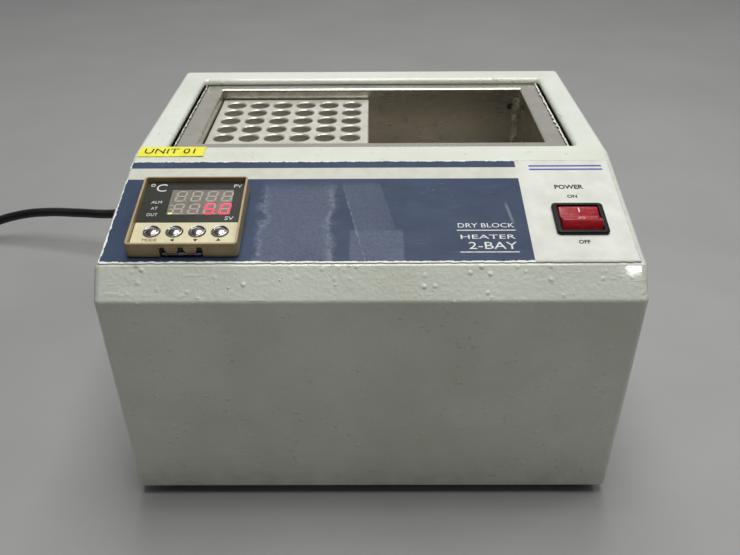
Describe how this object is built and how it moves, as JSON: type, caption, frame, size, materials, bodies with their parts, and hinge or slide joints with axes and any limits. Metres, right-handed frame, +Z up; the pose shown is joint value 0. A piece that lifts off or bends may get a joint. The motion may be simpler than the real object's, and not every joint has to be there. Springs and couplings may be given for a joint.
{
  "type": "dry block heater",
  "caption": "Bench-top dry block heater for sample tubes: sloped-front steel cabinet, stainless well with a lift-out drilled block, digital controller, rocker switch and mains cord.",
  "frame": {"origin": "centre of the cabinet's footprint, fuse cap included and cord left out, on the surface the feet stand on", "axes": "+X to the operator's right, -Y to the front (the sloping control panel), +Z up"},
  "size_m": [0.4952, 0.2979, 0.1569],
  "materials": {
    "powder_coat": "thick orange-peel powder coat, semi-gloss, nicked edges",
    "rubber": "matte black rubber",
    "zinc_steel": "zinc-plated steel",
    "stainless": "brushed stainless sheet, heat-tinted inside",
    "insulation": "glass-fibre felt faced with foil",
    "heater_silicone": "red-brown silicone rubber",
    "block_aluminium": "machined and satin anodised, light silver",
    "panel_film": "printed polyester film, off-white and blue, scuffed",
    "yellow_tape": "yellow label tape",
    "bezel_tan": "moulded tan plastic, fine texture",
    "keypad_beige": "beige moulded plastic",
    "dark_window": "smoked gloss acrylic",
    "display_board": "black printed board with numeral displays",
    "key_silver": "glossy silver",
    "black_plastic": "fine-textured black moulded plastic",
    "rocker_red": "translucent red gloss",
    "brass": "bright brass",
    "cord_black": "black PVC sheath, satin",
    "wire_red": "red silicone insulation",
    "wire_green": "green insulation"
  },
  "bodies": {
    "base": {"cabinet": "powder_coat", "rear_panel": "powder_coat", "base_plate": "powder_coat", "foot_front_left": "rubber", "foot_front_right": "rubber", "foot_rear_left": "rubber", "foot_rear_right": "rubber", "foot_screw_front_left": "zinc_steel", "foot_screw_front_right": "zinc_steel", "foot_screw_rear_left": "zinc_steel", "foot_screw_rear_right": "zinc_steel", "rear_screw_lower_left": "zinc_steel", "rear_screw_lower_right": "zinc_steel", "rear_screw_upper_left": "zinc_steel", "rear_screw_upper_right": "zinc_steel", "heater_clamp_plate": "zinc_steel", "clamp_nut_left": "zinc_steel", "clamp_nut_right": "zinc_steel", "well_support": "zinc_steel", "well_tub": "stainless", "temperature_probe": "stainless", "insulation_jacket": "insulation", "insulation_pad": "insulation", "heater_pad": "heater_silicone", "panel_film": "panel_film", "label_tape": "yellow_tape", "controller_bezel": "bezel_tan", "controller_keypad": "keypad_beige", "controller_bracket": "keypad_beige", "controller_latch": "keypad_beige", "controller_window": "dark_window", "controller_display_board": "display_board", "thermal_cutout": "black_plastic", "controller_case": "black_plastic", "controller_terminals": "black_plastic", "switch_frame": "black_plastic", "fuse_holder": "black_plastic", "relay": "black_plastic", "strain_relief": "black_plastic", "plug_body": "black_plastic", "switch_terminal_line": "brass", "switch_terminal_load": "brass", "earth_stud": "brass", "plug_blade_live": "brass", "plug_blade_neutral": "brass", "plug_earth_pin": "brass", "power_cord": "cord_black", "cord_coil": "cord_black", "wire_fuse_to_switch": "wire_red", "wire_relay_to_heater": "wire_red", "wire_probe_to_controller": "wire_red", "wire_earth": "wire_green"},
    "block": {"tube_block": "block_aluminium"},
    "rocker": {"switch_rocker": "rocker_red"},
    "fuse_cap": {"fuse_cap": "black_plastic"},
    "key_mode": {"key_mode": "key_silver"},
    "key_shift": {"key_shift": "key_silver"},
    "key_down": {"key_down": "key_silver"},
    "key_up": {"key_up": "key_silver"}
  },
  "joints": [
    {"name": "block_lift", "type": "slide", "parent": "base", "child": "block", "axis": [0, 0, 1], "range_m": [0, 0.06]},
    {"name": "switch_rock", "type": "hinge", "parent": "base", "child": "rocker", "pos_m": [0.0935, -0.08112, 0.14206], "axis": [1, 0, 0], "range_deg": [0, 24]},
    {"name": "fuse_cap_turn", "type": "hinge", "parent": "base", "child": "fuse_cap", "pos_m": [-0.035, 0.10775, 0.048], "axis": [0, 1, 0], "range_deg": [0, 90]},
    {"name": "key_mode_press", "type": "slide", "parent": "base", "child": "key_mode", "axis": [0, 0.225, -0.9744], "range_m": [0, 0.0005], "stiffness_N_per_m": 1200},
    {"name": "key_shift_press", "type": "slide", "parent": "base", "child": "key_shift", "axis": [0, 0.225, -0.9744], "range_m": [0, 0.0005], "stiffness_N_per_m": 1200},
    {"name": "key_down_press", "type": "slide", "parent": "base", "child": "key_down", "axis": [0, 0.225, -0.9744], "range_m": [0, 0.0005], "stiffness_N_per_m": 1200},
    {"name": "key_up_press", "type": "slide", "parent": "base", "child": "key_up", "axis": [0, 0.225, -0.9744], "range_m": [0, 0.0005], "stiffness_N_per_m": 1200}
  ]
}
